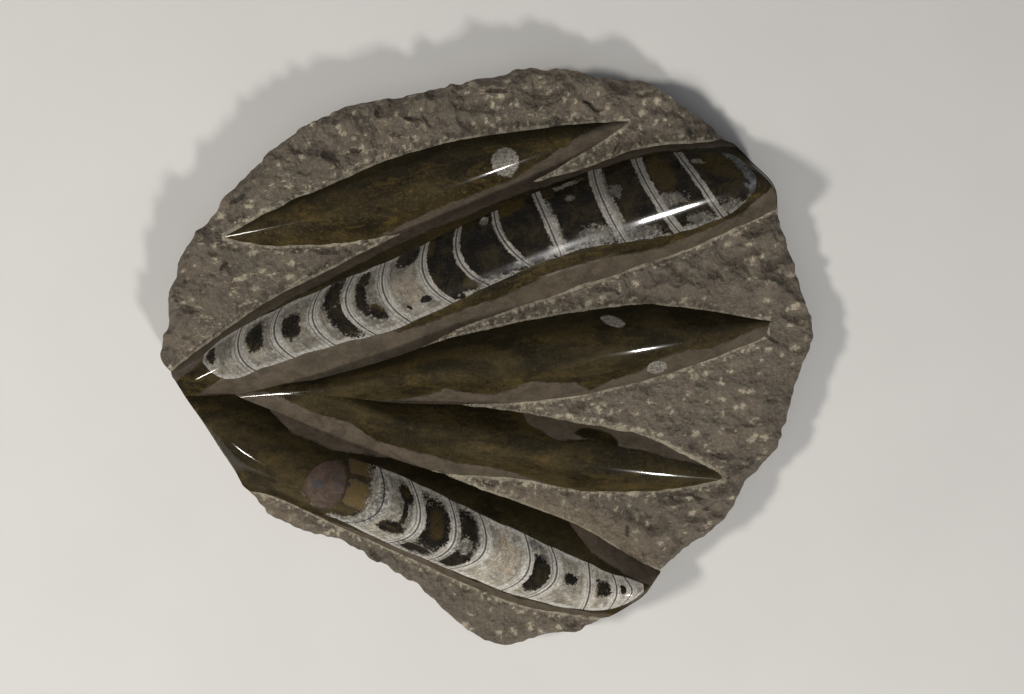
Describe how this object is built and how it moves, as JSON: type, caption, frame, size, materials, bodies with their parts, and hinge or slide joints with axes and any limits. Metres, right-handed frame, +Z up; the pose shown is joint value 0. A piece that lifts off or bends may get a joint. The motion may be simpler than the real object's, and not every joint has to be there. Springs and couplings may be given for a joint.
{
  "type": "orthoceras fossil plate",
  "caption": "Flat-bottomed limestone plate with polished ridges carved in a fan, straight chambered shells sectioned along their crests, for display on a table or shelf.",
  "frame": {"origin": "middle of the plate's box in plan, on the flat sawn base", "axes": "+X along the plate, from the end where the ridges meet towards the end where they fan out; +Y across it, towards the longest ridge; +Z up, out of the carved face"},
  "size_m": [0.296, 0.262, 0.0409],
  "materials": {
    "limestone": "chiselled matte ground and broken sides, ridges polished to a gloss",
    "calcite_shell": "polished to a gloss"
  },
  "bodies": {
    "root": {"matrix_slab": "limestone", "orthoceras_upper": "calcite_shell", "orthoceras_lower": "calcite_shell"}
  },
  "joints": []
}
